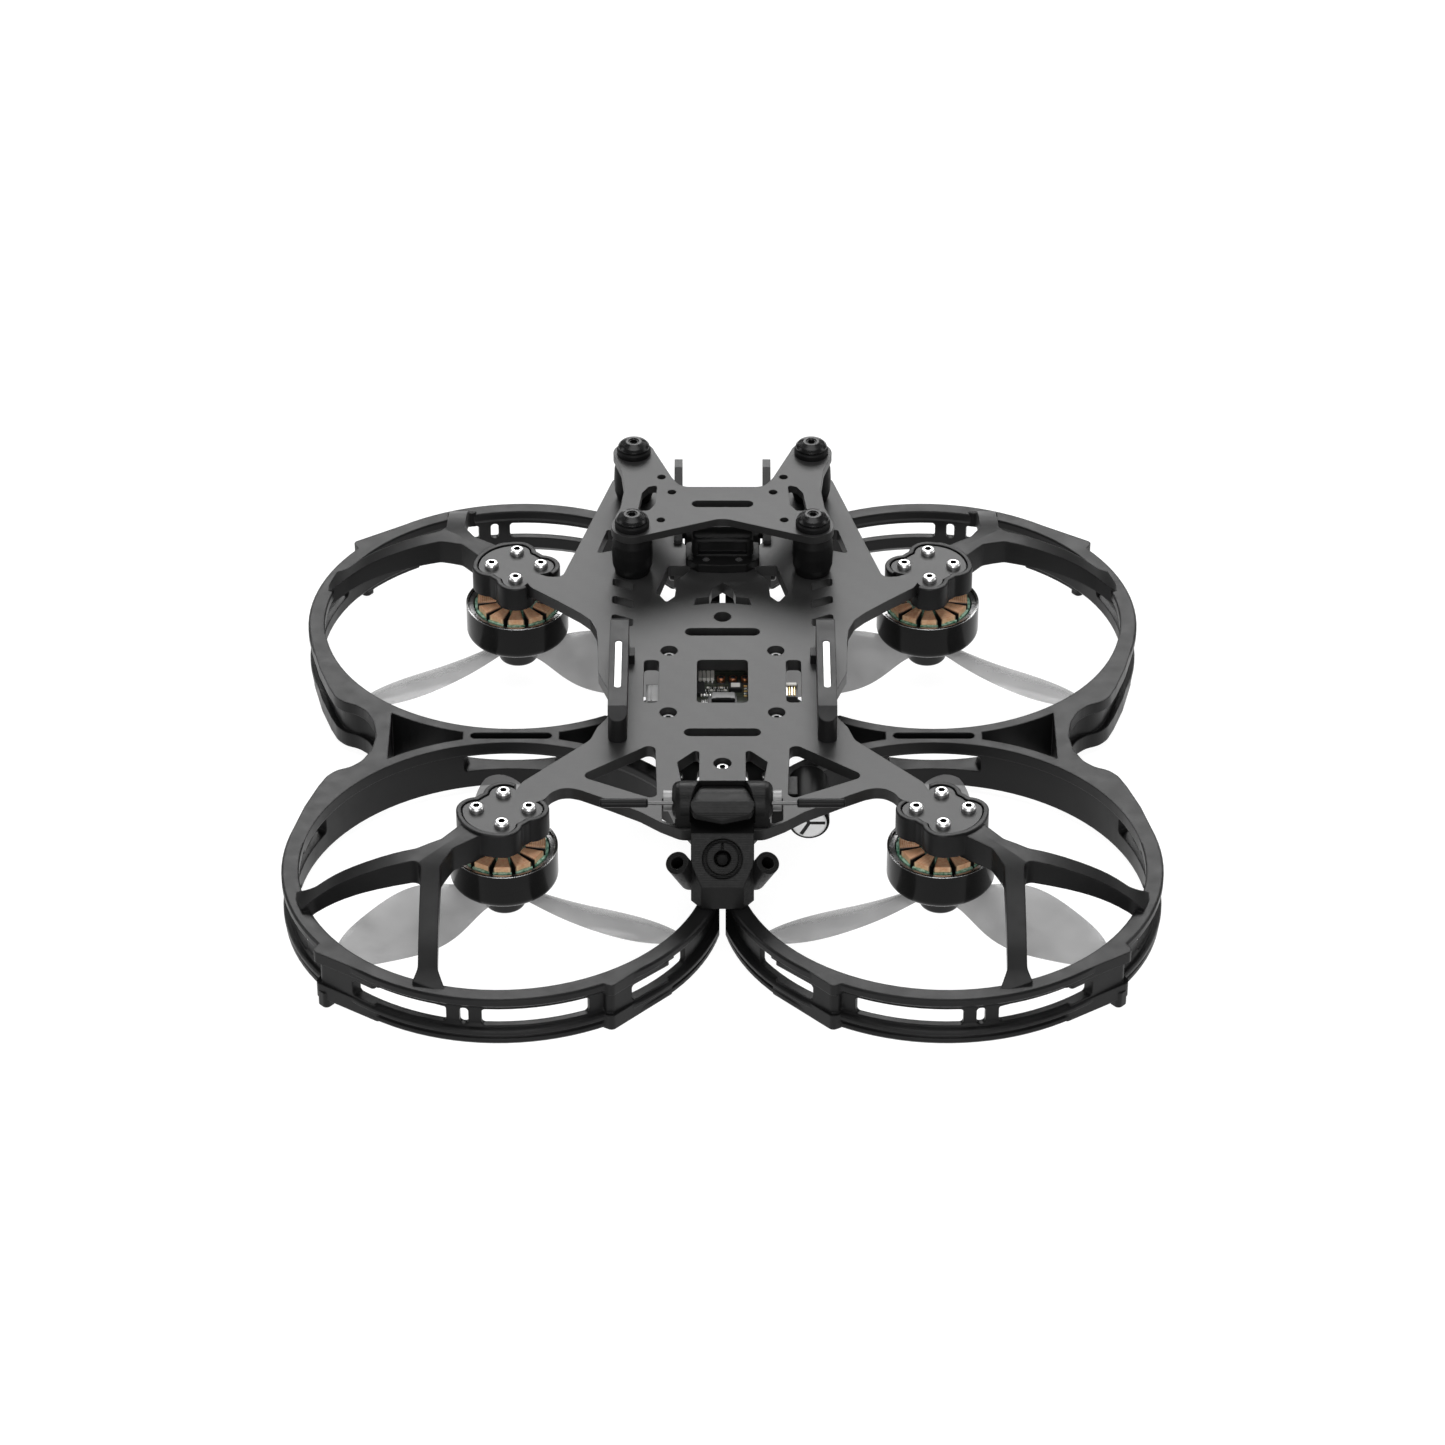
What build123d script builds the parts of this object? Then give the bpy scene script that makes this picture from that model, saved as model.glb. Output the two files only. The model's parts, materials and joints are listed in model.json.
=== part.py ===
from build123d import *
import math
import os

os.makedirs("parts", exist_ok=True)

# ---------------------------------------------------------------- driving dimensions (mm)
MOTOR_X = 50.4            # motor axes from the centre line, so the wheelbase is 142 mm
MOTOR_Y = 50.1
PLATE_TOP = 30.0          # top of the main plate above the ground
PLATE_T = 3.0
PLATE_LOW = PLATE_TOP - PLATE_T
PAD_PCD = 12.0            # four M2 screws per motor
LOBE_R = 3.2
PAD_CORE = 6.4            # radius of the notches between the lobes of a pad
GROOVE = 0.32             # gap between a pad and its cup
RING_IN = 48.3            # a 90 mm propeller turns inside with 3.3 mm to spare
RING_LIP = 47.3           # the flange on top is wider than the duct
RING_WEB = 49.6           # outside of the thin wall between the flanges
RING_OUT = 51.4
RING_LOW = 2.0
RING_TOP = 15.0
PROP_R = 45.0
M2_R = 1.0
DECK_LOW = 41.0
DECK_T = 2.0
DECK_TOP = DECK_LOW + DECK_T
DAMPER_X = 21.95
DAMPER_Y = (48.5, 81.2)
STACK_X = 12.75           # 25.5 mm flight controller pattern
STACK_Y = (-11.55, 13.95)
BASE_LOW = 15.0           # bottom plate, which lies on the guards
BASE_TOP = 17.0
POST_X, POST_Y = 12.5, 26.0
CAMERA_Y = 76.0
CAMERA_Z = 22.2
BOLT_Y = -52.8            # cross bolt of the tail mount
BOLT_Z = 34.6
SIDES = (-1, 1)


# ---------------------------------------------------------------- helpers
def slab(points, low, high):
    return Pos(0, 0, low) * extrude(make_face(Polyline(*points, close=True)), amount=high - low)


def soft(points, radius):
    """A flat face with every corner of its outline rounded, less where the sides are short."""
    arcs = []
    for i, point in enumerate(points):
        here = Vector(*point)
        back = Vector(*points[i - 1]) - here
        ahead = Vector(*points[(i + 1) % len(points)]) - here
        half = math.radians(back.get_angle(ahead) / 2)
        if math.degrees(half) > 89.4:
            continue
        reach = min(radius / math.tan(half), 0.45 * back.length, 0.45 * ahead.length)
        depth = reach * (1 / math.cos(half) - math.tan(half))
        inward = (back.normalized() + ahead.normalized()).normalized()
        stop = here + ahead.normalized() * reach
        arcs.append((here + back.normalized() * reach, here + inward * depth, stop))
    edges = []
    for i, (start, middle, stop) in enumerate(arcs):
        edges.append(ThreePointArc(start, middle, stop))
        edges.append(Line(stop, arcs[(i + 1) % len(arcs)][0]))
    return make_face(edges)


def soft_slab(points, low, high, radius):
    return Pos(0, 0, low) * extrude(soft(points, radius), amount=high - low)


def both(points):
    """Closes a left-hand outline, listed from the front to the rear, across the centre line."""
    return list(points) + [(-x, y) for x, y in reversed(points) if x != 0]


def block(x0, x1, y0, y1, z0, z1):
    return Pos((x0 + x1) / 2, (y0 + y1) / 2, (z0 + z1) / 2) * Box(x1 - x0, y1 - y0, z1 - z0)


def peg(x, y, low, high, radius):
    return Pos(x, y, (low + high) / 2) * Cylinder(radius, high - low)


def bar_x(x0, x1, y, z, radius):
    return Pos((x0 + x1) / 2, y, z) * Rot(0, 90, 0) * Cylinder(radius, x1 - x0)


def bar(start, end, radius):
    axis = Vector(*end) - Vector(*start)
    plane = Plane(origin=start, z_dir=axis)
    return plane * Pos(0, 0, axis.length / 2) * Cylinder(radius, axis.length)


def slot(x, y, length, width, low, high, angle=0.0):
    shape = SlotOverall(length, width)
    return Pos(x, y, low) * Rot(0, 0, angle) * extrude(shape, amount=high - low)


def side_slab(points, x0, x1):
    """A profile of (y, z) points, as thick as from x0 to x1."""
    face = make_face(Polyline(*[(x0, y, z) for y, z in points], close=True))
    return extrude(face, amount=x1 - x0, dir=(1, 0, 0))


def flip_x(shape):
    return mirror(shape, about=Plane.YZ)


def flip_y(shape):
    return mirror(shape, about=Plane.XZ)


def save(name, *solids):
    flat = [s for part in solids for s in part.solids()]
    whole = flat[0] if len(flat) == 1 else Compound(children=flat)
    export_step(whole, f"parts/{name}.step")


def button_screw(x, y, seat, length, head_r=1.75, head_h=1.3, shank_r=M2_R - 0.05):
    head = peg(x, y, seat, seat + head_h, head_r)
    head = fillet(head.edges().sort_by(Axis.Z)[-1], head_h * 0.55)
    socket = Pos(x, y, seat + head_h) * extrude(RegularPolygon(0.72, 6), amount=-0.7)
    return head + peg(x, y, seat - length, seat, shank_r) - socket


def pad_face(grow):
    """The end of an arm: a lobe round each screw, filled out in the (+, +) quadrant."""
    core = PAD_CORE + grow
    face = Circle(core)
    for quarter in range(4):
        turn = math.radians(90 * quarter)
        centre = Pos(PAD_PCD / 2 * math.cos(turn), PAD_PCD / 2 * math.sin(turn))
        face += centre * Circle(LOBE_R + grow)
    notches = [v for v in face.vertices() if abs(v.center().length - core) < 0.05]
    face = fillet(notches, 1.1)
    reach = PAD_PCD / 2 + LOBE_R + grow
    return face + (Circle(reach) & Pos(reach / 2, reach / 2) * Rectangle(reach, reach))


def pad(grow, low, high, sx, sy):
    turn = {(1, 1): 0, (-1, 1): 90, (-1, -1): 180, (1, -1): 270}[sx, sy]
    shape = Pos(0, 0, low) * extrude(pad_face(grow), amount=high - low)
    return Pos(sx * MOTOR_X, sy * MOTOR_Y, 0) * Rot(0, 0, turn) * shape


def pads(grow, low, high):
    found = None
    for sx in SIDES:
        for sy in SIDES:
            one = pad(grow, low, high, sx, sy)
            found = one if found is None else found + one
    return found


# ---------------------------------------------------------------- main plate
ARM_FRONT = [(-39.0, 45.6), (-42.6, 45.6), (-50.4, 50.1), (-46.6, 41.0), (-40.0, 35.2)]
ARM_REAR = [(-30.9, -22.7), (-46.3, -39.4), (-50.4, -50.1), (-41.0, -46.4), (-39.6, -43.6)]
OUTLINE = [(0, 58.0), (-9.95, 58.0), (-9.95, 74.0), (-12.0, 74.0), (-12.0, 88.5), (-14.5, 91.0)]
OUTLINE += [(-25.0, 91.4), (-27.4, 89.0)] + ARM_FRONT
OUTLINE += [(-34.3, 29.9), (-31.8, 26.9), (-30.3, 22.7), (-29.9, 18.4), (-29.6, 5.0)]
OUTLINE += [(-26.9, -3.0), (-26.9, -13.5), (-29.3, -17.5)] + ARM_REAR
OUTLINE += [(-37.4, -41.9), (-35.1, -41.7), (-32.8, -42.5), (-28.1, -45.2), (-18.8, -51.0)]
OUTLINE += [(-14.2, -54.9), (-9.6, -57.9), (0, -57.9)]


def rounded(points, low, high, radius):
    shape = slab(points, low, high)
    return fillet(shape.edges().filter_by(Axis.Z), radius)


low, high = PLATE_LOW - 1, PLATE_TOP + 1
main = soft_slab(both(OUTLINE), PLATE_LOW, PLATE_TOP, 4.0) + pads(0, PLATE_LOW, PLATE_TOP)
cuts = [rounded([(-6.05, -7.6), (6.05, -7.6), (6.05, 10.1), (-6.05, 10.1)], low, high, 1.2)]
cuts += [slot(0, 21.9, 18.0, 3.2, low, high), slot(0, -19.6, 18.0, 3.1, low, high)]
cuts += [peg(0, 28.3, low, high, 2.1), peg(0, -31.9, PLATE_LOW + 0.7, high, 2.1)]
cuts += [peg(0, -31.9, low, high, M2_R + 0.1)]
ARROW = [(0, 43.0), (-2.6, 40.4), (-3.2, 36.9), (-6.4, 36.3), (-6.9, 33.3), (-3.7, 33.9), (0, 34.3)]
cuts += [slab(both(ARROW), low, high)]
TRIANGLE = [(-15.7, -23.6), (-15.0, -46.4), (-33.2, -37.0)]
PENTAGON = [(-5.4, -25.8), (-10.5, -31.5), (-9.3, -41.0), (-5.4, -41.0)]
DIAMOND = [(-13.2, 50.3), (-7.9, 50.3), (-7.9, 48.4), (-11.0, 44.0), (-11.6, 37.0), (-13.6, 34.5)]
DIAMOND += [(-16.0, 38.9), (-15.2, 41.8)]
BESIDE = [(-28.4, 66.5), (-30.8, 55.8), (-25.6, 57.6), (-25.2, 65.0)]
TAIL_SLOT = [(-13.9, -54.2), (-10.9, -56.0), (-10.9, -45.5), (-13.9, -45.5)]
for points, radius in (
    (TRIANGLE, 1.6),
    (PENTAGON, 0.8),
    (DIAMOND, 0.5),
    (BESIDE, 0.6),
    (TAIL_SLOT, 0.6),
):
    cuts += [rounded(points, low, high, radius)]
    cuts += [rounded([(-x, y) for x, y in points], low, high, radius)]
for side in SIDES:
    cuts += [peg(side * STACK_X, y, low, high, 2.05) for y in STACK_Y]
    x0, x1 = sorted((side * 15.1, side * 18.7))
    cuts += [rounded([(x0, -7.5), (x1, -7.5), (x1, 10.0), (x0, 10.0)], low, high, 1.1)]
    for y in (42.3, 34.7, 26.8):
        vent = [(26.7, y + 2.9), (21.5, y + 0.4), (21.5, y - 2.9), (26.7, y - 0.4)]
        cuts += [soft_slab([(side * x, v) for x, v in vent], low, high, 0.7)]
    cuts += [peg(side * DAMPER_X, y, low, high, 3.05) for y in DAMPER_Y]
    cuts += [peg(side * 24.5, y, low, high, M2_R + 0.1) for y in (-18.0, 0.0, 12.0)]
    cuts += [peg(side * 4.0, y, low, high, M2_R + 0.1) for y in (-54.5, 50.0)]
    cuts += [peg(side * POST_X, POST_Y, low, PLATE_LOW + 1.6, 1.6)]
    for sy in SIDES:
        for quarter in range(4):
            turn = math.radians(90 * quarter)
            x = side * MOTOR_X + PAD_PCD / 2 * math.cos(turn)
            y = sy * MOTOR_Y + PAD_PCD / 2 * math.sin(turn)
            cuts += [peg(x, y, low, high, M2_R + 0.1)]
for cut in cuts:
    main -= cut
save("main_plate", main)


# ---------------------------------------------------------------- duct guards
RING_PROFILE = [(RING_LIP, 14.7), (47.6, RING_TOP), (51.0, RING_TOP), (RING_OUT, 14.6)]
RING_PROFILE += [(RING_OUT, 13.2), (50.9, 12.6), (49.9, 11.9), (RING_WEB, 11.2), (RING_WEB, 6.9)]
RING_PROFILE += [(50.1, 6.3), (51.0, 6.0), (51.3, 5.6), (51.3, 4.8), (51.0, 4.5), (50.4, 4.4)]
RING_PROFILE += [(50.4, 3.8), (50.9, 3.5), (51.0, 2.6), (50.5, RING_LOW), (49.6, 2.1)]
RING_PROFILE += [(RING_IN, 3.6), (RING_IN, 11.2), (47.6, 12.4), (RING_LIP, 13.0)]
WINDOW_LOW, WINDOW_TOP = 6.6, 11.0
WINDOWS = ((152, 207), (229.5, 256.5), (260, 262.4), (265.8, 294.5), (306.2, 327.5), (78, 102))
FOOT_ANGLE = 216.6
BULGE_ANGLE = 297.4
BOSS_ANGLE = 37.5         # where the inner arc is screwed to the bottom plate


def at_angle(angle, radius):
    turn = math.radians(angle)
    return radius * math.cos(turn), radius * math.sin(turn)


def sector(start, stop, inner, outer, low, high):
    """A curved wall between two angles, in degrees."""
    steps = max(2, round((stop - start) / 4))
    angles = [start + (stop - start) * i / steps for i in range(steps + 1)]
    outline = [at_angle(a, outer) for a in angles] + [at_angle(a, inner) for a in reversed(angles)]
    return slab(outline, low, high)


def window(start, stop, radius):
    """The cutter of one opening in the duct's wall, with rounded corners."""
    cutter = sector(start, stop, 46.5, 57.0, WINDOW_LOW, WINDOW_TOP)
    ends = [e for e in cutter.edges() if e.length > 10.0]
    return fillet(ends, radius)


def cam(start, peak, run, outer, low, high):
    """A shoulder outside the ring: a step, a rounded corner, then straight back to the ring."""
    outline = [at_angle(start, 49.0), at_angle(start, 50.6), at_angle(start + peak, outer)]
    outline += [at_angle(start + run, RING_OUT - 0.5), at_angle(start + run, 49.0)]
    outline += [at_angle(start + run - 4.0 * i, 49.0) for i in range(1, int(run / 4))]
    return soft_slab(outline, low, high, 1.3)


def shoulder(start, run, reach):
    """The flange, the wall and the lower lip of a cam."""
    shape = cam(start, 1.5, run, reach, 12.0, RING_TOP)
    shape += cam(start + 1.0, 1.6, run - 3.0, reach - 1.3, 5.8, 12.2)
    return shape + cam(start + 0.2, 1.5, run - 1.0, reach - 0.3, RING_LOW + 0.1, 6.0)


ring = revolve(make_face(Polyline(*[(r, 0, z) for r, z in RING_PROFILE], close=True)), Axis.Z)
ring += shoulder(FOOT_ANGLE, 22.0, 53.9) + shoulder(BULGE_ANGLE, 24.0, 53.0)
FOOT = [at_angle(FOOT_ANGLE + 1.7, 53.4), at_angle(FOOT_ANGLE + 5.4, 53.2)]
FOOT += [at_angle(FOOT_ANGLE + 5.0, 50.0), at_angle(FOOT_ANGLE + 1.7, 50.0)]
ring += soft_slab(FOOT, 0.0, 4.0, 1.1)
boss_x, boss_y = at_angle(BOSS_ANGLE, 49.7)
ring += peg(boss_x, boss_y, 8.0, RING_TOP, 2.5)
ring -= peg(boss_x, boss_y, 7.0, 16, M2_R)
ring -= peg(0, 0, 5.0, 11.0, RING_IN)
at_ring = Pos(-MOTOR_X, -MOTOR_Y, 0)

# the waist joins the two rings of a side: a flange, a wall set back from it and a lower lip
WAIST = [(-100.9, -41.2), (-97.9, -28.6), (-95.2, -20.6), (-93.4, -16.4), (-91.3, -14.0)]
WAIST += [(-88.0, -12.7), (-85.4, -10.2), (-83.4, -5.8), (-82.5, 0.0)]
WAIST_BACK = [(-97.5, -44.0), (-92.0, -30.0), (-80.0, -16.0), (-60.0, -4.0), (-40.0, -4.0)]
WAIST_BACK += [(-26.0, -12.0)]


def waist(inset, low, high):
    edge = [(x + inset, y) for x, y in WAIST]
    outline = edge + [(x, -y) for x, y in reversed(edge[:-1])]
    outline += [(x, -y) for x, y in WAIST_BACK] + [(x, y) for x, y in reversed(WAIST_BACK)]
    return soft_slab(outline, low, high, 6.0)


def between_rings(x0, x1, gap, steps=8):
    """The outline of a pocket of the waist, a steady wall away from both rings."""
    upper = []
    for i in range(steps + 1):
        x = x0 + (x1 - x0) * i / steps
        upper.append((x, MOTOR_Y - math.sqrt(gap**2 - (x + MOTOR_X) ** 2)))
    return upper + [(x, -y) for x, y in reversed(upper)]


# the arm from the motor cup forks into two branches, which slope down to the ring
FORK = [(-57.0, -51.8), (-64.0, -60.6), (-69.6, -63.15), (-93.0, -63.15), (-99.5, -60.6)]
FORK += [(-99.5, -70.6), (-93.0, -67.75), (-68.3, -67.75)]
FORK += [(-68.3, -93.0), (-71.2, -99.5), (-61.2, -99.5), (-63.9, -93.0), (-63.9, -69.6)]
FORK += [(-61.3, -64.2), (-52.0, -57.2)]
ARM_TOP = [(-16.0, 29.9), (-6.0, 29.7), (0.0, 29.3), (8.0, 27.6), (16.0, 24.6), (24.0, 20.2)]
ARM_TOP += [(31.0, 15.3), (36.0, 14.6)]
ARM_UNDER = [(-16.0, 23.4), (-6.0, 23.2), (0.0, 23.0), (8.0, 21.6), (16.0, 19.4), (24.0, 15.7)]
ARM_UNDER += [(30.5, 11.4), (36.0, 9.4)]


def slope(along_x):
    """The slope of a branch, between its upper and its lower curve, along -X or along -Y."""
    top = [(0, -65.6 - s, z) for s, z in ARM_TOP]
    low = [(0, -65.6 - s, z) for s, z in ARM_UNDER]
    edges = [Spline(*top), Line(top[-1], low[-1]), Spline(*low), Line(low[0], top[0])]
    shape = extrude(make_face(edges), amount=130, dir=(-1, 0, 0))
    return Pos(-0.3, 0, 0) * Rot(0, 0, -90) * flip_x(shape) if along_x else shape


fork = soft_slab(FORK, 0.0, 32.0, 2.6) & at_ring * peg(0, 0, 0, 40, 49.3)
beyond = slab([(-40.3, -40), (-130.3, -130), (-130.3, -40)], 0, 40)
beside = slab([(-40.3, -40), (-130.3, -130), (-40.3, -130)], 0, 40)
arm = (fork & beyond & slope(True)) + (fork & beside & slope(False))
arm -= at_ring * peg(0, 0, 20, 25.0, 9.6)

rear = at_ring * ring
for start, stop in WINDOWS[:5]:
    rear -= at_ring * window(start, stop, 0.9)
guard = rear + flip_y(rear)
guard += waist(0.0, 12.0, RING_TOP) + waist(1.7, 5.8, 12.2) + waist(0.2, RING_LOW, 6.0)
bore = peg(0, 0, -1, 12.0, RING_IN) + peg(0, 0, 11.9, 16, RING_LIP)
bore = at_ring * bore + flip_y(at_ring * bore)
guard -= bore
across = at_ring * window(*WINDOWS[5], 0.9)
guard -= across + flip_y(across)
side_window = at_ring * window(*WINDOWS[0], 0.9)
guard -= side_window + flip_y(side_window)
pockets = slab(between_rings(-79.4, -61.9, 49.95), -1, 16)
pockets += slab(between_rings(-38.9, -28.6, 49.95), -1, 16)
pockets += slot(-50.4, 0, 19.4, 2.4, 12.4, 16)

cup = pad(1.5, 24.2, PLATE_TOP + 0.3, -1, -1)
cup = fillet(cup.faces().sort_by(Axis.Z)[-1].edges(), 0.35)
rest = cup + arm
PLATE_ROOM = soft_slab(both(OUTLINE), PLATE_LOW, 40, 4.0)
neck = [(-42.0, -47.2), (-50.4, -50.1), (-47.2, -38.8), (-41.0, -32.0), (-34.0, -40.0)]
rest -= PLATE_ROOM + pads(GROOVE, PLATE_LOW, 40) + slab(neck, PLATE_LOW, 40)
rest -= pad(0.12, 20, 26.0, -1, -1)
for quarter in range(4):
    x, y = at_angle(90 * quarter, PAD_PCD / 2)
    rest -= peg(x - MOTOR_X, y - MOTOR_Y, 20, 32, M2_R + 0.1)
rest -= peg(-MOTOR_X, -MOTOR_Y, 20, 32, 3.2)
guard += rest + flip_y(rest)
guard += block(-27.0, -20.8, -4.0, 4.0, 9.0, RING_TOP)
guard -= pockets
guard -= block(-0.7, 60.0, -120, 120, -5, 40)
guard -= peg(-24.5, 0, 5, 16, M2_R + 0.1)
guard -= peg(-24.5, 0, 0, 9, 2.1)
save("left_duct_guard", guard)
save("right_duct_guard", flip_x(guard))

# ---------------------------------------------------------------- bottom plate and its spacers
BASE = [(0, 31.0), (-11.0, 31.0), (-15.3, 26.0), (-15.3, -22.0), (-11.0, -36.0), (-6.0, -38.0)]
BASE += [(0, -38.0)]
bottom = slab(both(BASE), BASE_LOW, BASE_TOP)
bottom -= rounded([(-7, 19.5), (7, 19.5), (7, 29), (-7, 29)], 14, 18, 2)
bottom -= rounded([(-6, -28), (6, -28), (6, -16), (-6, -16)], 14, 18, 2)
BOSSES = [(sx * (MOTOR_X - boss_x), sy * (MOTOR_Y - boss_y)) for sx in SIDES for sy in SIDES]
STACK = [(sx * STACK_X, y) for sx in SIDES for y in STACK_Y]
for x, y in BOSSES:
    bottom -= peg(x, y, 14, 18, M2_R + 0.1)
for x, y in STACK:
    bottom -= peg(x, y, 14, 18, 1.5)
for x, y in ((0, -31.9), (-POST_X, POST_Y), (POST_X, POST_Y)):
    bottom -= peg(x, y, 14, 18, M2_R + 0.1)
save("bottom_plate", bottom)

spacers = [peg(0, -31.9, BASE_TOP, PLATE_LOW, 2.4) - peg(0, -31.9, 16, 28, 0.95)]
for side in SIDES:
    post = peg(side * POST_X, POST_Y, BASE_TOP, PLATE_LOW, 2.4)
    post += peg(side * POST_X, POST_Y, PLATE_LOW, PLATE_LOW + 1.5, 1.58)
    spacers += [post - peg(side * POST_X, POST_Y, 16, 25, 0.95)]
save("frame_standoffs", *spacers)
save(
    "guard_standoffs",
    *[
        peg(s * 24.5, 0, RING_TOP, PLATE_LOW, 2.3) - peg(s * 24.5, 0, 14, 28, 0.95)
        for s in SIDES
    ],
)


def from_below(x, y, seat, length, head_r=1.75):
    """A button screw with its head under the seat."""
    screw = button_screw(0, 0, 0, length, head_r, shank_r=0.94)
    return Pos(x, y, seat) * Rot(180, 0, 0) * screw


frame_screws = [button_screw(0, -31.9, PLATE_LOW + 0.7, 4.3, shank_r=0.94)]
for x, y in ((0, -31.9), (-POST_X, POST_Y), (POST_X, POST_Y)):
    frame_screws += [from_below(x, y, BASE_LOW, 5.0)]
frame_screws += [button_screw(x, y, BASE_TOP, 6.5, head_h=1.2) for x, y in BOSSES]
for side in SIDES:
    frame_screws += [button_screw(side * 24.5, 0, PLATE_TOP, 6.5, shank_r=0.94)]
    frame_screws += [from_below(side * 24.5, 0, 9.0, 9.5)]
    frame_screws += [from_below(side * 24.5, y, PLATE_LOW, 6.0) for y in (-18.0, 12.0)]

# ---------------------------------------------------------------- boards
FC_LOW, FC_TOP = 21.6, 23.2
board = block(-15.2, 15.2, STACK_Y[0] - 2.9, STACK_Y[1] + 2.9, FC_LOW, FC_TOP)
board = fillet(board.edges().filter_by(Axis.Z), 1.6)
for x, y in STACK:
    board -= peg(x, y, 20, 25, 1.75)
save("flight_controller", board)
chips = [block(-3.4, 3.4, -3.0, 3.8, FC_TOP, 24.2), block(1.6, 4.6, 6.3, 8.8, FC_TOP, 24.4)]
chips += [block(-3.9, 3.9, -13.6, -8.2, FC_TOP, 25.8), block(-6.3, -4.3, 4.6, 9.2, FC_TOP, 24.3)]
chips += [block(-18.2, -14.2, -3.6, 5.2, FC_TOP, 26.2), block(14.2, 17.9, 0.4, 5.6, FC_TOP, 26.0)]
for side in SIDES:
    chips += [block(side * 7.6 - 1.5, side * 7.6 + 1.5, y, y + 3.0, FC_TOP, 24.8) for y in (-5, 5)]
    for y in (-6.5, -0.5, 5.5):
        chips += [block(side * 11.6 - 1.9, side * 11.6 + 1.9, y, y + 4.4, FC_LOW - 1.1, FC_LOW)]
save("flight_controller_parts", *chips)
save(
    "stack_dampers",
    *[
        peg(x, y, 20.8, 24.0, 1.7) + peg(x, y, 20.8, FC_LOW, 2.4) + peg(x, y, FC_TOP, 24.0, 2.4)
        - peg(x, y, 20, 25, M2_R)
        for x, y in STACK
    ],
)
save(
    "stack_spacers",
    *[
        peg(x, y, BASE_TOP, 20.8, 2.0) + peg(x, y, BASE_LOW, BASE_TOP, 1.48)
        - peg(x, y, 16.5, 21, 0.95)
        for x, y in STACK
    ],
    *[
        peg(x, y, 24.0, 27.2, 1.75) - peg(x, y, 23, 28, M2_R)
        for x, y in STACK
    ],
)
save("stack_screws", *[button_screw(x, y, 27.2, 10.0, shank_r=0.94) for x, y in STACK])
video = block(-9.5, 9.5, -9.0, 11.0, BASE_TOP, 19.6)
for i in range(6):
    video -= block(-8.0, 8.0, -7.0 + 3.0 * i, -5.6 + 3.0 * i, 18.4, 20)
save("video_transmitter", video)

# ---------------------------------------------------------------- capacitor under the right rear arm
CAP_X, CAP_Z = 20.0, 22.1
can = Pos(CAP_X, -36.3, CAP_Z) * Rot(90, 0, 0) * Cylinder(4.75, 16.4)
can = fillet(can.edges().filter_by(GeomType.CIRCLE), 0.6)
groove = Pos(CAP_X, -42.3, CAP_Z) * Rot(90, 0, 0) * (Cylinder(5.5, 0.9) - Cylinder(4.35, 0.9))
save("capacitor", can - groove)
clip = block(11.4, 17.4, -40.0, -33.0, 18.6, PLATE_LOW)
save("capacitor_clip", clip - (Pos(CAP_X, -36.3, CAP_Z) * Rot(90, 0, 0) * Cylinder(4.75, 20)))

# ---------------------------------------------------------------- side rails
RAIL_TOP = PLATE_TOP + 8.2
RAIL = [(-23.9, PLATE_TOP), (-23.9, RAIL_TOP - 2.0), (-20.4, RAIL_TOP), (15.1, RAIL_TOP)]
RAIL += [(18.6, RAIL_TOP - 2.0), (18.6, PLATE_TOP)]
rail = side_slab(RAIL, -26.75, -22.25)
rail = fillet(rail.edges().filter_by(Axis.Z), 2.0)
rail += block(-22.3, -20.9, 8.4, 11.8, PLATE_TOP, PLATE_TOP + 2.4)
rail -= slot(-24.57, -3.3, 19.4, 1.7, RAIL_TOP - 0.9, RAIL_TOP + 1, 90)
for y in (-18.0, 12.0):
    rail -= peg(-24.5, y, 28, PLATE_TOP + 4.5, 0.95)
rail -= peg(-24.5, 0, 28, PLATE_TOP + 1.6, 2.05)
strip = slot(-24.57, -3.3, 19.3, 1.6, RAIL_TOP - 0.9, RAIL_TOP - 0.15, 90)
save("side_rails", rail, flip_x(rail))
save("rail_light_strips", strip, flip_x(strip))

# ---------------------------------------------------------------- motors and propellers
BELL_R, BELL_LOW, BELL_TOP = 12.5, 10.6, 19.8
BASE_SEAT = 26.0          # where the motor's base meets the floor of its cup
tube = peg(0, 0, 13.9, 24.3, 3.0) + peg(0, 0, 21.6, 24.3, 3.4)
TOOTH_LOW, TOOTH_TOP = 14.6, 19.3

core = peg(0, 0, TOOTH_LOW, TOOTH_TOP, 5.0)
coil = []
for i in range(12):
    turn = Rot(0, 0, 30.0 * i)
    core += turn * block(4.5, 9.9, -0.75, 0.75, TOOTH_LOW, TOOTH_TOP)
    core += turn * Pos(10.05, 0, (TOOTH_LOW + TOOTH_TOP) / 2) * Box(0.7, 4.3, TOOTH_TOP - TOOTH_LOW)
    wire = slab([(5.15, -1.1), (9.6, -2.15), (9.6, 2.15), (5.15, 1.1)], 13.5, 20.7)
    wire = fillet([e for e in wire.edges() if 4.4 < e.length < 5.0], 0.75)
    coil += [turn * (wire - block(4.5, 10, -0.76, 0.76, TOOTH_LOW - 0.02, TOOTH_TOP + 0.02))]
core &= peg(0, 0, 10, 25, 10.4)
core -= peg(0, 0, 10, 25, 3.02)

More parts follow.
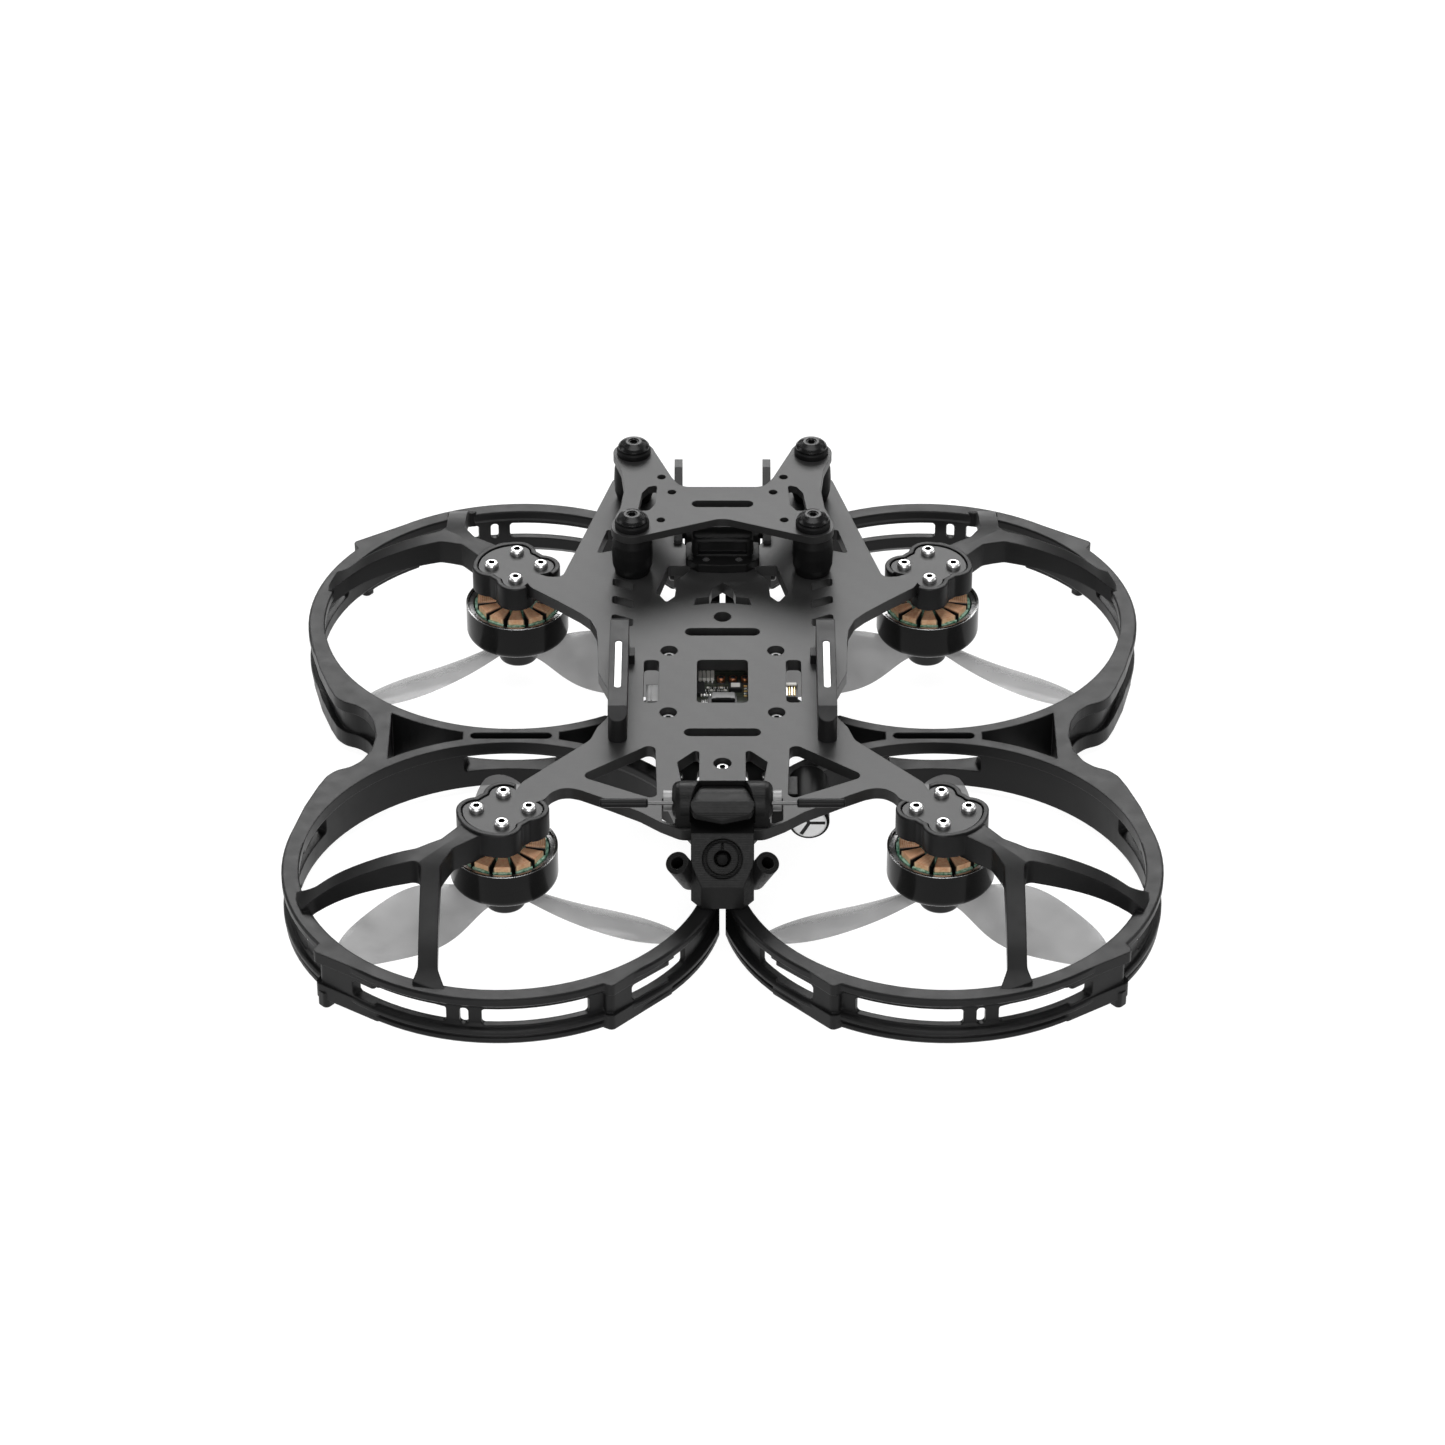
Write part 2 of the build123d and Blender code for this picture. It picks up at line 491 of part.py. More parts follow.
bell = peg(0, 0, BELL_LOW, BELL_TOP, BELL_R)
bell = fillet(bell.edges().sort_by(Axis.Z)[0], 2.0)
bell -= peg(0, 0, 12.4, 21, 11.9)
for i in range(6):
    bell -= Rot(0, 0, 60 * i + 30) * slot(7.6, 0, 5.2, 3.2, 10, 14)
bell += peg(0, 0, BELL_LOW, 12.4, 4.8)
bell += peg(0, 0, 4.0, 24.6, 1.5)
for side in SIDES:
    bell -= peg(side * 3.3, 0, 10, 13.6, 0.97)
magnets = [
    Rot(0, 0, 360 / 14 * i) * sector(0.8, 24.9, 10.75, 11.88, 13.4, 19.2) for i in range(14)
]


def blade(spin):
    """One blade along +X: twisted lens sections, lofted. spin is +1 for anticlockwise."""
    sections = []
    for radius, chord, thick, pitch, sweep in (
        (3.2, 6.0, 2.4, 24.0, 0.0),
        (11.0, 10.5, 1.9, 25.0, 0.3),
        (20.0, 16.6, 1.5, 24.0, 0.2),
        (30.0, 15.8, 1.2, 18.5, -0.5),
        (39.0, 11.4, 1.0, 14.5, -1.4),
        (PROP_R - 0.3, 4.6, 0.7, 12.0, -2.4),
    ):
        half = chord / 2
        upper = ThreePointArc((-half, 0), (0, thick * 0.75), (half, 0))
        lower = ThreePointArc((half, 0), (0, -thick * 0.25), (-half, 0))
        plane = Plane(origin=(radius, 0, 7.4), x_dir=(0, 1, 0), z_dir=(1, 0, 0))
        place = plane * Rot(0, 0, spin * pitch) * Pos(spin * sweep, 0)
        sections.append(place * make_face([upper, lower]))
    return loft(sections)


def propeller(spin, start):
    hub = peg(0, 0, 3.3, BELL_LOW, 4.8)
    hub = fillet(hub.edges().sort_by(Axis.Z)[0], 0.9)
    wing = blade(spin)
    for i in range(3):
        hub += Rot(0, 0, start + 120 * i) * wing
    hub -= peg(0, 0, 3, 12, 1.52)
    for side in SIDES:
        hub -= peg(side * 3.3, 0, 3, 12, M2_R + 0.05)
        hub -= peg(side * 3.3, 0, 3, 6.0, 1.75)
    return hub


MOTORS = {
    "rear_left": (-1, -1, -1, 92.0),
    "rear_right": (1, -1, 1, 88.0),
    "front_left": (-1, 1, 1, 98.0),
    "front_right": (1, 1, -1, 82.0),
}
pad_screws, stators, windings = [], [], []
for name, (sx, sy, spin, start) in MOTORS.items():
    here = Pos(sx * MOTOR_X, sy * MOTOR_Y, 0)
    base = pad(-0.05, 24.2, BASE_SEAT, sx, sy) + here * tube
    for quarter in range(4):
        x, y = at_angle(90 * quarter, PAD_PCD / 2)
        base -= peg(sx * MOTOR_X + x, sy * MOTOR_Y + y, 20, 27, 0.97)
    save(f"motor_base_{name}", base - here * peg(0, 0, 10, 27, 1.53))
    stators += [here * core]
    windings += [here * c for c in coil]
    save(f"motor_bell_{name}", here * bell)
    save(f"motor_magnets_{name}", *[here * m for m in magnets])
    save(f"prop_{name}", here * propeller(spin, start))
    for quarter in range(4):
        x, y = at_angle(90 * quarter, PAD_PCD / 2)
        pad_screws += [button_screw(sx * MOTOR_X + x, sy * MOTOR_Y + y, PLATE_TOP, 5.7)]
    held = []
    for side in SIDES:
        screw = from_below(side * 3.3, 0, 6.0, 5.9, 1.6)
        held += [here * screw]
    save(f"prop_screws_{name}", *held)
save("motor_screws", *pad_screws)
save("motor_stators", *stators)
save("motor_windings", *windings)

# ---------------------------------------------------------------- damped deck
LOBE = 5.1
HALF = [(0, 65.8), (-10.2, 65.8), (-12.4, 69.8), (-17.6, 84.0), (-21.9, 86.2), (-26.6, 83.2)]
HALF += [(-27.0, 80.4), (-24.9, 73.0), (-24.1, 64.5), (-24.9, 56.5), (-27.0, 49.2), (-21.9, 43.6)]
HALF += [(-19.6, 44.0), (-1.4, 51.3), (0, 51.4)]
deck = soft_slab(both(HALF), DECK_LOW, DECK_TOP, 5.0)
CUTOUT = [(-16.0, 66.6), (-18.2, 65.7), (-19.7, 63.0), (-20.6, 55.0), (-18.0, 55.2), (-16.5, 57.8)]
for side in SIDES:
    for y in DAMPER_Y:
        deck += peg(side * DAMPER_X, y, DECK_LOW, DECK_TOP, LOBE)
for side in SIDES:
    for y in DAMPER_Y:
        deck -= peg(side * DAMPER_X, y, 40, 44, 3.05)
    deck -= rounded([(-side * x, y) for x, y in CUTOUT], 40, 44, 0.7)
    for x, y in ((15.0, 51.0), (15.0, 70.2), (12.4, 63.4)):
        deck -= peg(side * x, y, 40, 44, 1.05)
deck -= slot(0, 58.15, 15.0, 2.9, 40, 44)
save("damper_deck", deck)

balls, rings, caps, pins = [], [], [], []
for sx in SIDES:
    for y in DAMPER_Y:
        x = sx * DAMPER_X
        barrel = [(0, 30.0), (4.2, 30.0), (4.85, 32.4), (5.0, 35.5), (4.85, 38.6), (4.2, 41.0)]
        barrel += [(0, 41.0)]
        turned = revolve(make_face(Polyline(*[(r, 0, z) for r, z in barrel], close=True)), Axis.Z)
        ball = Pos(x, y, 0) * turned + peg(x, y, 26.0, 30.0, 3.0) + peg(x, y, 25.4, PLATE_LOW, 4.2)
        balls += [ball - peg(x, y, 32.5, 42, 1.5)]
        collar = peg(x, y, DECK_TOP, 44.6, 4.2)
        collar = chamfer(collar.edges().sort_by(Axis.Z)[-1], 0.4)
        rings += [collar + peg(x, y, DECK_LOW, DECK_TOP, 3.0) - peg(x, y, 40, 45, 1.3)]
        dome = [(0, 44.6), (3.6, 44.6), (3.85, 44.85), (3.85, 45.2), (3.3, 45.8), (1.9, 46.5), (0, 46.5)]
        dome = revolve(make_face(Polyline(*[(r, 0, z) for r, z in dome], close=True)), Axis.Z)
        caps += [Pos(x, y, 0) * dome - peg(x, y, 44, 47, 1.3)]
        socket = Pos(x, y, 46.6) * extrude(RegularPolygon(1.0, 6), amount=-1.2)
        pins += [peg(x, y, 36.5, 46.3, 1.25) - socket]
save("deck_dampers", *balls)
save("damper_collars", *rings)
save("damper_caps", *caps)
save("damper_pins", *pins)

# ---------------------------------------------------------------- nose camera
SIDE = [(60.0, 17.0), (62.0, 15.3), (85.0, 15.3), (88.6, 19.0), (88.6, 36.4), (85.0, 36.4)]
SIDE += [(77.0, 33.2), (68.0, 32.4), (63.0, 32.0), (60.0, 31.0)]
fin = side_slab(SIDE, -11.95, -9.95)
fin -= block(-13, -9, 50, 75.2, PLATE_LOW - 0.03, PLATE_TOP + 0.03)
fin -= bar_x(-13, -9, CAMERA_Y, CAMERA_Z, M2_R + 0.05)
SPACERS = ((64.0, 18.6), (64.0, 24.0))
for y, z in SPACERS:
    fin -= bar_x(-13, -9, y, z, M2_R + 0.1)
save("camera_side_plates", fin, flip_x(fin))
ties = [bar_x(-9.95, 9.95, y, z, 1.9) - bar_x(-12, 12, y, z, 0.95) for y, z in SPACERS]
save("camera_standoffs", *ties)


def side_screw(side, y, z, seat, length, shank):
    screw = button_screw(0, 0, 0, length, shank_r=shank)
    return Pos(side * seat, y, z) * Rot(0, 90 * side, 0) * screw


fixed = [side_screw(s, y, z, 11.95, 6.0, 0.94) for s in SIDES for y, z in SPACERS]
frame_screws += fixed

camera = block(-9.4, 9.4, CAMERA_Y - 6.0, CAMERA_Y + 6.0, CAMERA_Z - 6.0, CAMERA_Z + 6.0)
camera = fillet(camera.edges().filter_by(Axis.X), 4.0)
camera = fillet(camera.faces().sort_by(Axis.X)[0].edges(), 0.5)
camera = fillet(camera.faces().sort_by(Axis.X)[-1].edges(), 0.5)
camera += Pos(0, CAMERA_Y + 7.3, CAMERA_Z) * Rot(90, 0, 0) * Cylinder(5.3, 3.0)
for side in SIDES:
    camera -= bar_x(*sorted((side * 4.0, side * 12.0)), CAMERA_Y, CAMERA_Z, 1.0)
barrel = Pos(0, CAMERA_Y + 9.25, CAMERA_Z) * Rot(90, 0, 0) * Cylinder(4.6, 0.9)
barrel += Pos(0, CAMERA_Y + 10.35, CAMERA_Z) * Rot(90, 0, 0) * Cylinder(5.0, 1.3)
barrel -= Pos(0, CAMERA_Y + 10.5, CAMERA_Z) * Rot(90, 0, 0) * Cylinder(4.1, 1.2)
glass = Pos(0, CAMERA_Y + 6.2, CAMERA_Z) * Sphere(4.8)
glass &= Pos(0, CAMERA_Y + 11.9, CAMERA_Z) * Rot(90, 0, 0) * Cylinder(4.0, 4.0)
save("fpv_camera", camera)
save("fpv_camera_barrel", barrel)
save("fpv_camera_lens", glass)
save("camera_tilt_screws", *[side_screw(s, CAMERA_Y, CAMERA_Z, 11.97, 7.0, 1.0) for s in SIDES])

cradle = [(-9.0, 57.6), (-9.0, 50.4), (-6.0, 47.6), (0, 47.2)]
nest = soft_slab(both(cradle), PLATE_TOP, PLATE_TOP + 2.2, 1.2)
pod = fillet(block(-7.5, 7.5, 51.5, 57.6, PLATE_TOP, 37.0).edges().filter_by(Axis.Z), 1.8)
pod = fillet(pod.faces().sort_by(Axis.Z)[-1].edges(), 0.7)
nest += pod - block(-5.9, 5.9, 51.0, 53.0, PLATE_TOP + 2.6, 36.0)
for side in SIDES:
    nest -= peg(side * 4.0, 50.0, 29, 33, 0.95)
save("camera_cradle", nest)
frame_screws += [from_below(s * 4.0, 50.0, PLATE_LOW, 5.0) for s in SIDES]

# ---------------------------------------------------------------- tail mount
BOSS_CURVE = [(0, 0), (0, 4.55), (9.7, 4.55), (10.7, 4.2), (11.3, 3.5), (11.5, 2.7), (11.5, 0)]
boss = make_face(Polyline(*[(x, r, 0) for x, r in BOSS_CURVE], close=True))
boss = Pos(0, BOLT_Y, BOLT_Z) * revolve(boss, Axis.X)
tail = boss + flip_x(boss)
tail += block(-10.6, 10.6, BOLT_Y - 4.4, BOLT_Y + 4.4, PLATE_TOP + 0.05, BOLT_Z)
TAIL = [(-50.6, 30.05), (-50.6, 31.4), (-61.2, 31.4), (-68.2, 21.3), (-68.2, 15.2), (-61.0, 15.2)]
TAIL += [(-53.5, 22.5), (-53.5, 26.95), (-58.0, 26.95), (-58.0, 30.05)]
body = side_slab(TAIL, -7.8, 7.8)
PLAN = [(-7.2, -45.0), (-7.2, -65.0), (-4.8, -68.2), (4.8, -68.2), (7.2, -65.0), (7.2, -45.0)]
body &= slab(PLAN, 10, 40)
HOOD_PLAN = [(-4.8, -50.6), (-7.4, -57.4), (-6.6, -59.6), (0, -60.9), (6.6, -59.6), (7.4, -57.4), (4.8, -50.6)]
HOOD_ROOM = [(-5.1, -50.3), (-7.7, -58.0), (-7.7, -63.0), (7.7, -63.0), (7.7, -58.0), (5.1, -50.3)]
tail -= slab(HOOD_ROOM, 31.4, 45)
tail += body
tail -= bar_x(-13, 13, BOLT_Y, BOLT_Z, 1.3)
OUT = Vector(0, -0.762, 0.648)
FACE = Vector(0, -64.1, 26.35)


def along(start, stop, radius):
    return bar(tuple(FACE + OUT * start), tuple(FACE + OUT * stop), radius)


tail -= along(-2.2, 3, 4.6)
tail += along(-2.4, 1.7, 3.6)
tail -= along(-8.0, 3, 1.95)
slit = Plane(origin=tuple(FACE), x_dir=(1, 0, 0), z_dir=tuple(OUT)) * Pos(0, 2.8, 1.0)
tail -= slit * Box(0.5, 2.4, 3.2)
LEAN = Vector(0.29, -0.505, 0.813)
TIP = Vector(10.3, -66.4, 27.0)


def socket_bar(side, start, stop, radius):
    """A length of a side socket's tube, measured down from its mouth."""
    ends = [TIP - LEAN * start, TIP - LEAN * stop]
    return bar(*[(side * end.X, end.Y, end.Z) for end in ends], radius)


for side in SIDES:
    tail += socket_bar(side, 0.0, 10.6, 2.7)
for side in SIDES:
    tail -= socket_bar(side, -2.0, 7.0, 1.45)
for side in SIDES:
    tail -= peg(side * 4.0, -54.5, 20, 33, M2_R + 0.1)
AERIAL_Y, AERIAL_Z = -55.6, 35.9
tail -= bar_x(-13, 13, AERIAL_Y, AERIAL_Z, 0.5)
save("tail_mount", tail)

HOOD = [(-50.6, 31.45), (-50.6, 37.1), (-53.5, 37.5), (-56.8, 37.2), (-59.4, 36.0), (-61.2, 34.6)]
HOOD += [(-61.2, 33.6), (-58.6, 34.9), (-54.7, 35.1), (-54.7, 31.45)]
hood = side_slab(HOOD, -7.5, 7.5) & soft_slab(HOOD_PLAN, 30, 45, 1.6)
hood -= block(-6.2, 6.2, -57.0, -52.6, 31, 33.1)
hood -= bar_x(-13, 13, BOLT_Y, BOLT_Z, 1.3)
hood -= bar_x(-13, 13, AERIAL_Y, AERIAL_Z, 0.5)
save("tail_hood", hood)
frame_screws += [button_screw(s * 4.0, -54.5, 31.4, 8.6, shank_r=0.95) for s in SIDES]
save("frame_screws", *frame_screws)
save("tail_bolt", bar_x(-13.2, 13.2, BOLT_Y, BOLT_Z, 1.25))
nuts = []
for side in SIDES:
    x0, x1 = sorted((side * 11.5, side * 13.5))
    nut = bar_x(x0, x1, BOLT_Y, BOLT_Z, 2.45) - bar_x(-14, 14, BOLT_Y, BOLT_Z, 1.25)
    nuts += [nut]
save("tail_nuts", *nuts)
rods, sleeves = [], []
for side in SIDES:
    rods += [bar_x(*sorted((side * 3.0, side * 27.6)), AERIAL_Y, AERIAL_Z, 0.46)]
    outer = bar_x(*sorted((side * 17.0, side * 28.0)), AERIAL_Y, AERIAL_Z, 1.05)
    outer = fillet(outer.edges().filter_by(GeomType.CIRCLE), 0.5)
    sleeves += [outer - bar_x(*sorted((side * 16.0, side * 27.6)), AERIAL_Y, AERIAL_Z, 0.47)]
save("antenna_rods", *rods)
save("antenna_sleeves", *sleeves)
save("rear_aerial", along(-7.8, -3.2, 1.3))
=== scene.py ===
import json
import math

import bmesh
import bpy
from mathutils import Matrix, Vector


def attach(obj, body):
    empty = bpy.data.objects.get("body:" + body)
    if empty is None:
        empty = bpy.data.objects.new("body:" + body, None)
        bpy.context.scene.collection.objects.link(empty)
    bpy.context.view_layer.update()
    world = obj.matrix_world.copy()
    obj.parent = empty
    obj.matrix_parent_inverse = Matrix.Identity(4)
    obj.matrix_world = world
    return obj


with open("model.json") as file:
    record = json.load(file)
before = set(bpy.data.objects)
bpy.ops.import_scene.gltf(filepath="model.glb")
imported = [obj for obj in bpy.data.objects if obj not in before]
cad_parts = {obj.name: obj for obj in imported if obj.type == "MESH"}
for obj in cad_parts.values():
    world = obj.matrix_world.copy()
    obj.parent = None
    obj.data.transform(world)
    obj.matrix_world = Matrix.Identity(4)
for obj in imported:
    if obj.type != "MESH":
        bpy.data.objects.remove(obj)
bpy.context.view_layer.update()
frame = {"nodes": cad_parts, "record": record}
NODES = frame["nodes"]
MM = 0.001

# ---------------------------------------------------------------- places in the CAD, in millimetres
MOTOR_X, MOTOR_Y = 50.4, 50.1         # one motor axis; the other three mirror it
MOTOR_SCREW_RING = 6.0                # from a motor axis to each of its four screws
MOTOR_SCREW_TOP = 31.3
TEETH = 12                            # coils on each stator
HUB_RADIUS = 5.1                      # dark middle of a propeller
BELL_RIM_LOW = 19.66                  # the bell is bare metal above this
STACK_X, STACK_Y = 12.75, (-11.55, 13.95)
STACK_SCREW_TOP = 28.5
REAR_SCREW_Y, REAR_SCREW_TOP = -31.9, 29.0
NOSE_SCREWS_Y, TAIL_SCREWS_Y = 58, -48    # frame screws past these are black
CAP_X, CAP_Z, CAP_END = 20.0, 22.1, -44.5     # capacitor axis and its vented end
BOARD_TOP = 23.2
CHIP_TOP = 24.2                       # the blocks that the CAD puts on the flight controller
SMALL_BLOCK_TOP = 24.4
LEFT_BLOCK_TOP = 26.2
RIGHT_BLOCK_TOP = 26.0


# ---------------------------------------------------------------- node materials
class Nodes:
    """A material and short calls that add nodes to it."""

    def __init__(self, name):
        self.material = bpy.data.materials.new(name)
        self.material.use_nodes = True
        self.tree = self.material.node_tree
        self.shader = self.tree.nodes["Principled BSDF"]
        self.place = self.add("ShaderNodeTexCoord").outputs["Object"]

    def add(self, kind, links=None, **settings):
        node = self.tree.nodes.new(kind)
        for key, value in settings.items():
            setattr(node, key, value)
        for key, value in (links or {}).items():
            self.join(node.inputs[key], value)
        return node

    def join(self, socket, value):
        if isinstance(value, bpy.types.NodeSocket):
            self.tree.links.new(value, socket)
        else:
            socket.default_value = value

    def split(self):
        """The point's coordinates, as outputs X, Y and Z."""
        return self.add("ShaderNodeSeparateXYZ", {"Vector": self.place}).outputs

    def scaled(self, factors):
        node = self.add("ShaderNodeMapping", {"Vector": self.place})
        node.inputs["Scale"].default_value = factors
        return node.outputs["Vector"]

    def noise(self, size, detail=3.0, rough=0.6, vector=None):
        links = {"Vector": vector or self.place, "Scale": 1.0 / size, "Detail": detail, "Roughness": rough}
        return self.add("ShaderNodeTexNoise", links).outputs["Fac"]

    def ramp(self, fac, low, high, from_low=0.0, from_high=1.0):
        node = self.add("ShaderNodeMapRange", {"Value": fac, "From Min": from_low, "From Max": from_high})
        node.inputs["To Min"].default_value = low
        node.inputs["To Max"].default_value = high
        return node.outputs["Result"]

    def mix(self, fac, a, b):
        node = self.add("ShaderNodeMix", data_type="RGBA")
        self.join(node.inputs["Factor"], fac)
        self.join(node.inputs["A"], a)
        self.join(node.inputs["B"], b)
        return node.outputs["Result"]

    def math(self, operation, a, b=0.0):
        node = self.add("ShaderNodeMath", operation=operation)
        self.join(node.inputs[0], a)
        self.join(node.inputs[1], b)
        return node.outputs[0]

    def squares(self, a, b):
        """The sum of the squares of a and b."""
        return self.math("ADD", self.math("MULTIPLY", a, a), self.math("MULTIPLY", b, b))

    def from_motor(self):
        """X and Y of the point, counted outwards from the nearest motor axis."""
        split = self.split()
        from_x = self.math("SUBTRACT", self.math("ABSOLUTE", split["X"]), MOTOR_X * MM)
        from_y = self.math("SUBTRACT", self.math("ABSOLUTE", split["Y"]), MOTOR_Y * MM)
        return from_x, from_y

    def off_axis(self):
        """Distance from the nearest motor axis."""
        from_x, from_y = self.from_motor()
        return self.math("SQRT", self.squares(from_x, from_y))

    def round_axis(self, count):
        """0 on the line of each of count spokes about the nearest motor axis, 0.5 half way between them."""
        from_x, from_y = self.from_motor()
        turn = self.math("ARCTAN2", from_y, from_x)
        return self.math("PINGPONG", self.math("DIVIDE", turn, 2 * math.pi / count), 0.5)

    def bump(self, height, distance, strength, normal=None):
        node = self.add("ShaderNodeBump", {"Height": height, "Strength": strength, "Distance": distance})
        if normal is not None:
            self.join(node.inputs["Normal"], normal)
        return node.outputs["Normal"]

    def soft_edges(self, radius):
        return self.add("ShaderNodeBevel", {"Radius": radius}, samples=4).outputs["Normal"]

    def set(self, **sockets):
        for key, value in sockets.items():
            self.join(self.shader.inputs[key.replace("_", " ")], value)


def rgb(level, tint=(1, 1, 1)):
    return (level * tint[0], level * tint[1], level * tint[2], 1.0)


def moulded(name, level, rough, grain, depth, tint=(1, 1, 1.03), bevel=0.25 * MM, specular=0.5):
    """Moulded or coated plastic: fine grain, faint blotches of colour and of gloss."""
    n = Nodes(name)
    blotch = n.noise(14 * MM, 2.0)
    fine = n.noise(grain, 2.0, 0.5)
    colour = n.mix(n.ramp(blotch, 0, 1, 0.3, 0.7), rgb(level * 0.86, tint), rgb(level * 1.12, tint))
    gloss = n.ramp(n.noise(5 * MM, 4.0), rough - 0.05, rough + 0.06, 0.3, 0.7)
    normal = n.bump(fine, depth, 0.6, n.soft_edges(bevel))
    n.set(Base_Color=colour, Roughness=gloss, Normal=normal, Specular_IOR_Level=specular)
    return n


def metal(name, level, rough, tint=(1, 1, 1), bevel=0.12 * MM, depth=0.0025 * MM):
    """Metal with a fine grain in its surface and its gloss."""
    n = Nodes(name)
    grain = n.noise(0.25 * MM)
    gloss = n.ramp(grain, rough - 0.06, rough + 0.08, 0.3, 0.7)
    colour = n.mix(n.noise(3 * MM), rgb(level * 0.9, tint), rgb(min(1, level * 1.08), tint))
    normal = n.bump(grain, depth, 0.35, n.soft_edges(bevel))
    n.set(Base_Color=colour, Metallic=1.0, Roughness=gloss, Normal=normal)
    return n


def blackened(name):
    """Steel screws, the ones at the nose and at the tail in a black finish."""
    n = metal(name, 0.82, 0.30)
    split = n.split()
    nose = n.math("GREATER_THAN", split["Y"], NOSE_SCREWS_Y * MM)
    tail = n.math("LESS_THAN", split["Y"], TAIL_SCREWS_Y * MM)
    bright = n.mix(n.noise(3 * MM), rgb(0.74), rgb(0.88))
    n.set(Base_Color=n.mix(n.math("MAXIMUM", nose, tail), bright, rgb(0.012)))
    return n


def carbon():
    """A plate of woven carbon under satin resin: 2/2 twill in faint light and dark."""
    n = Nodes("carbon_plate")
    split = n.split()
    tow = 1.9 * MM
    u = n.math("DIVIDE", split["X"], tow)
    v = n.math("DIVIDE", split["Y"], tow)
    step = n.math("ADD", n.math("FLOOR", u), n.math("FLOOR", v))
    twill = n.math("LESS_THAN", n.math("FLOORED_MODULO", step, 4.0), 2.0)
    ridge = n.mix(twill, n.math("PINGPONG", u, 0.5), n.math("PINGPONG", v, 0.5))
    fibre_u = n.noise(0.2 * MM, 2.0, 0.5, n.scaled((6.0, 0.3, 1.0)))
    fibre_v = n.noise(0.2 * MM, 2.0, 0.5, n.scaled((0.3, 6.0, 1.0)))
    fibre = n.mix(twill, fibre_u, fibre_v)
    blotch = n.noise(20 * MM, 3.0)
    warp = n.mix(n.ramp(fibre, 0, 1, 0.3, 0.7), rgb(0.0150), rgb(0.0225))
    weft = n.mix(n.ramp(fibre, 0, 1, 0.3, 0.7), rgb(0.0135), rgb(0.0205))
    colour = n.mix(twill, warp, weft)
    colour = n.mix(n.ramp(blotch, 0, 0.5, 0.35, 0.75), colour, rgb(0.022))
    gloss = n.math("ADD", n.ramp(fibre, 0.37, 0.45, 0.3, 0.7), n.ramp(blotch, -0.03, 0.03))
    normal = n.bump(ridge, 0.012 * MM, 0.35, n.soft_edges(0.22 * MM))
    normal = n.bump(n.noise(0.3 * MM, 2.0), 0.006 * MM, 0.6, normal)
    n.set(Base_Color=colour, Roughness=gloss, Normal=normal, Specular_IOR_Level=0.30)
    return n


def printed(name, level):
    """Printed part: fine layer lines along Z."""
    n = Nodes(name)
    layer = n.math("PINGPONG", n.math("DIVIDE", n.split()["Z"], 0.32 * MM), 0.5)
    wander = n.noise(2 * MM, 2.0)
    height = n.math("ADD", layer, n.math("MULTIPLY", wander, 0.35))
    colour = n.mix(n.noise(6 * MM), rgb(level * 0.85), rgb(level * 1.2))
    normal = n.bump(height, 0.07 * MM, 0.55, n.soft_edges(0.4 * MM))
    gloss = n.ramp(n.noise(1.0 * MM, 3.0), 0.34, 0.5, 0.3, 0.7)
    n.set(Base_Color=colour, Roughness=gloss, Normal=normal, Specular_IOR_Level=0.15)
    return n


def smoke():
    """Smoked clear polycarbonate of the blades, black and opaque at the hub."""
    n = Nodes("prop_smoke")
    clear = n.add("ShaderNodeBsdfTransparent")
    streak = n.noise(9 * MM, 3.0)
    tone = n.mix(n.ramp(streak, 0, 1, 0.3, 0.7), rgb(0.60), rgb(0.76))
    n.join(clear.inputs["Color"], tone)
    hub = n.math("LESS_THAN", n.off_axis(), HUB_RADIUS * MM)
    n.set(Base_Color=n.mix(hub, rgb(0.42), rgb(0.004)), Specular_IOR_Level=0.28)
    n.set(Roughness=n.ramp(n.noise(4 * MM, 3.0), 0.10, 0.24))
    n.set(Normal=n.bump(n.noise(5 * MM, 2.0), 0.004 * MM, 0.2))
    mixed = n.add("ShaderNodeMixShader", {"Fac": n.math("MAXIMUM", hub, 0.42)})
    n.tree.links.new(clear.outputs["BSDF"], mixed.inputs[1])
    n.tree.links.new(n.shader.outputs["BSDF"], mixed.inputs[2])
    n.tree.links.new(mixed.outputs["Shader"], n.tree.nodes["Material Output"].inputs["Surface"])
    return n


def milky():
    """Milky plastic of the light strips."""
    n = Nodes("diffuser")
    colour = n.mix(n.noise(4 * MM), rgb(0.86), rgb(0.94))
    n.set(Base_Color=colour, Roughness=n.ramp(n.noise(1 * MM), 0.2, 0.34))
    n.set(Subsurface_Weight=0.25, Subsurface_Radius=(0.004, 0.004, 0.004))
    n.set(Normal=n.bump(n.noise(0.6 * MM, 2.0), 0.01 * MM, 0.5, n.soft_edges(0.15 * MM)))
    return n


def board():
    """Solder mask over tracks: faint lines and pads of colour."""
    n = Nodes("circuit_board")
    tracks = n.add("ShaderNodeTexBrick", {"Vector": n.place, "Scale": 260.0, "Mortar Size": 0.06})
    tracks.inputs["Color1"].default_value = rgb(0.010, (1, 1.3, 1))
    tracks.inputs["Color2"].default_value = rgb(0.018, (1, 1.5, 1.1))
    tracks.inputs["Mortar"].default_value = rgb(0.035, (1.1, 1.2, 0.8))
    n.set(Base_Color=tracks.outputs["Color"], Roughness=n.ramp(n.noise(2 * MM), 0.25, 0.4))
    n.set(Normal=n.bump(tracks.outputs["Fac"], 0.03 * MM, 0.6))
    return n


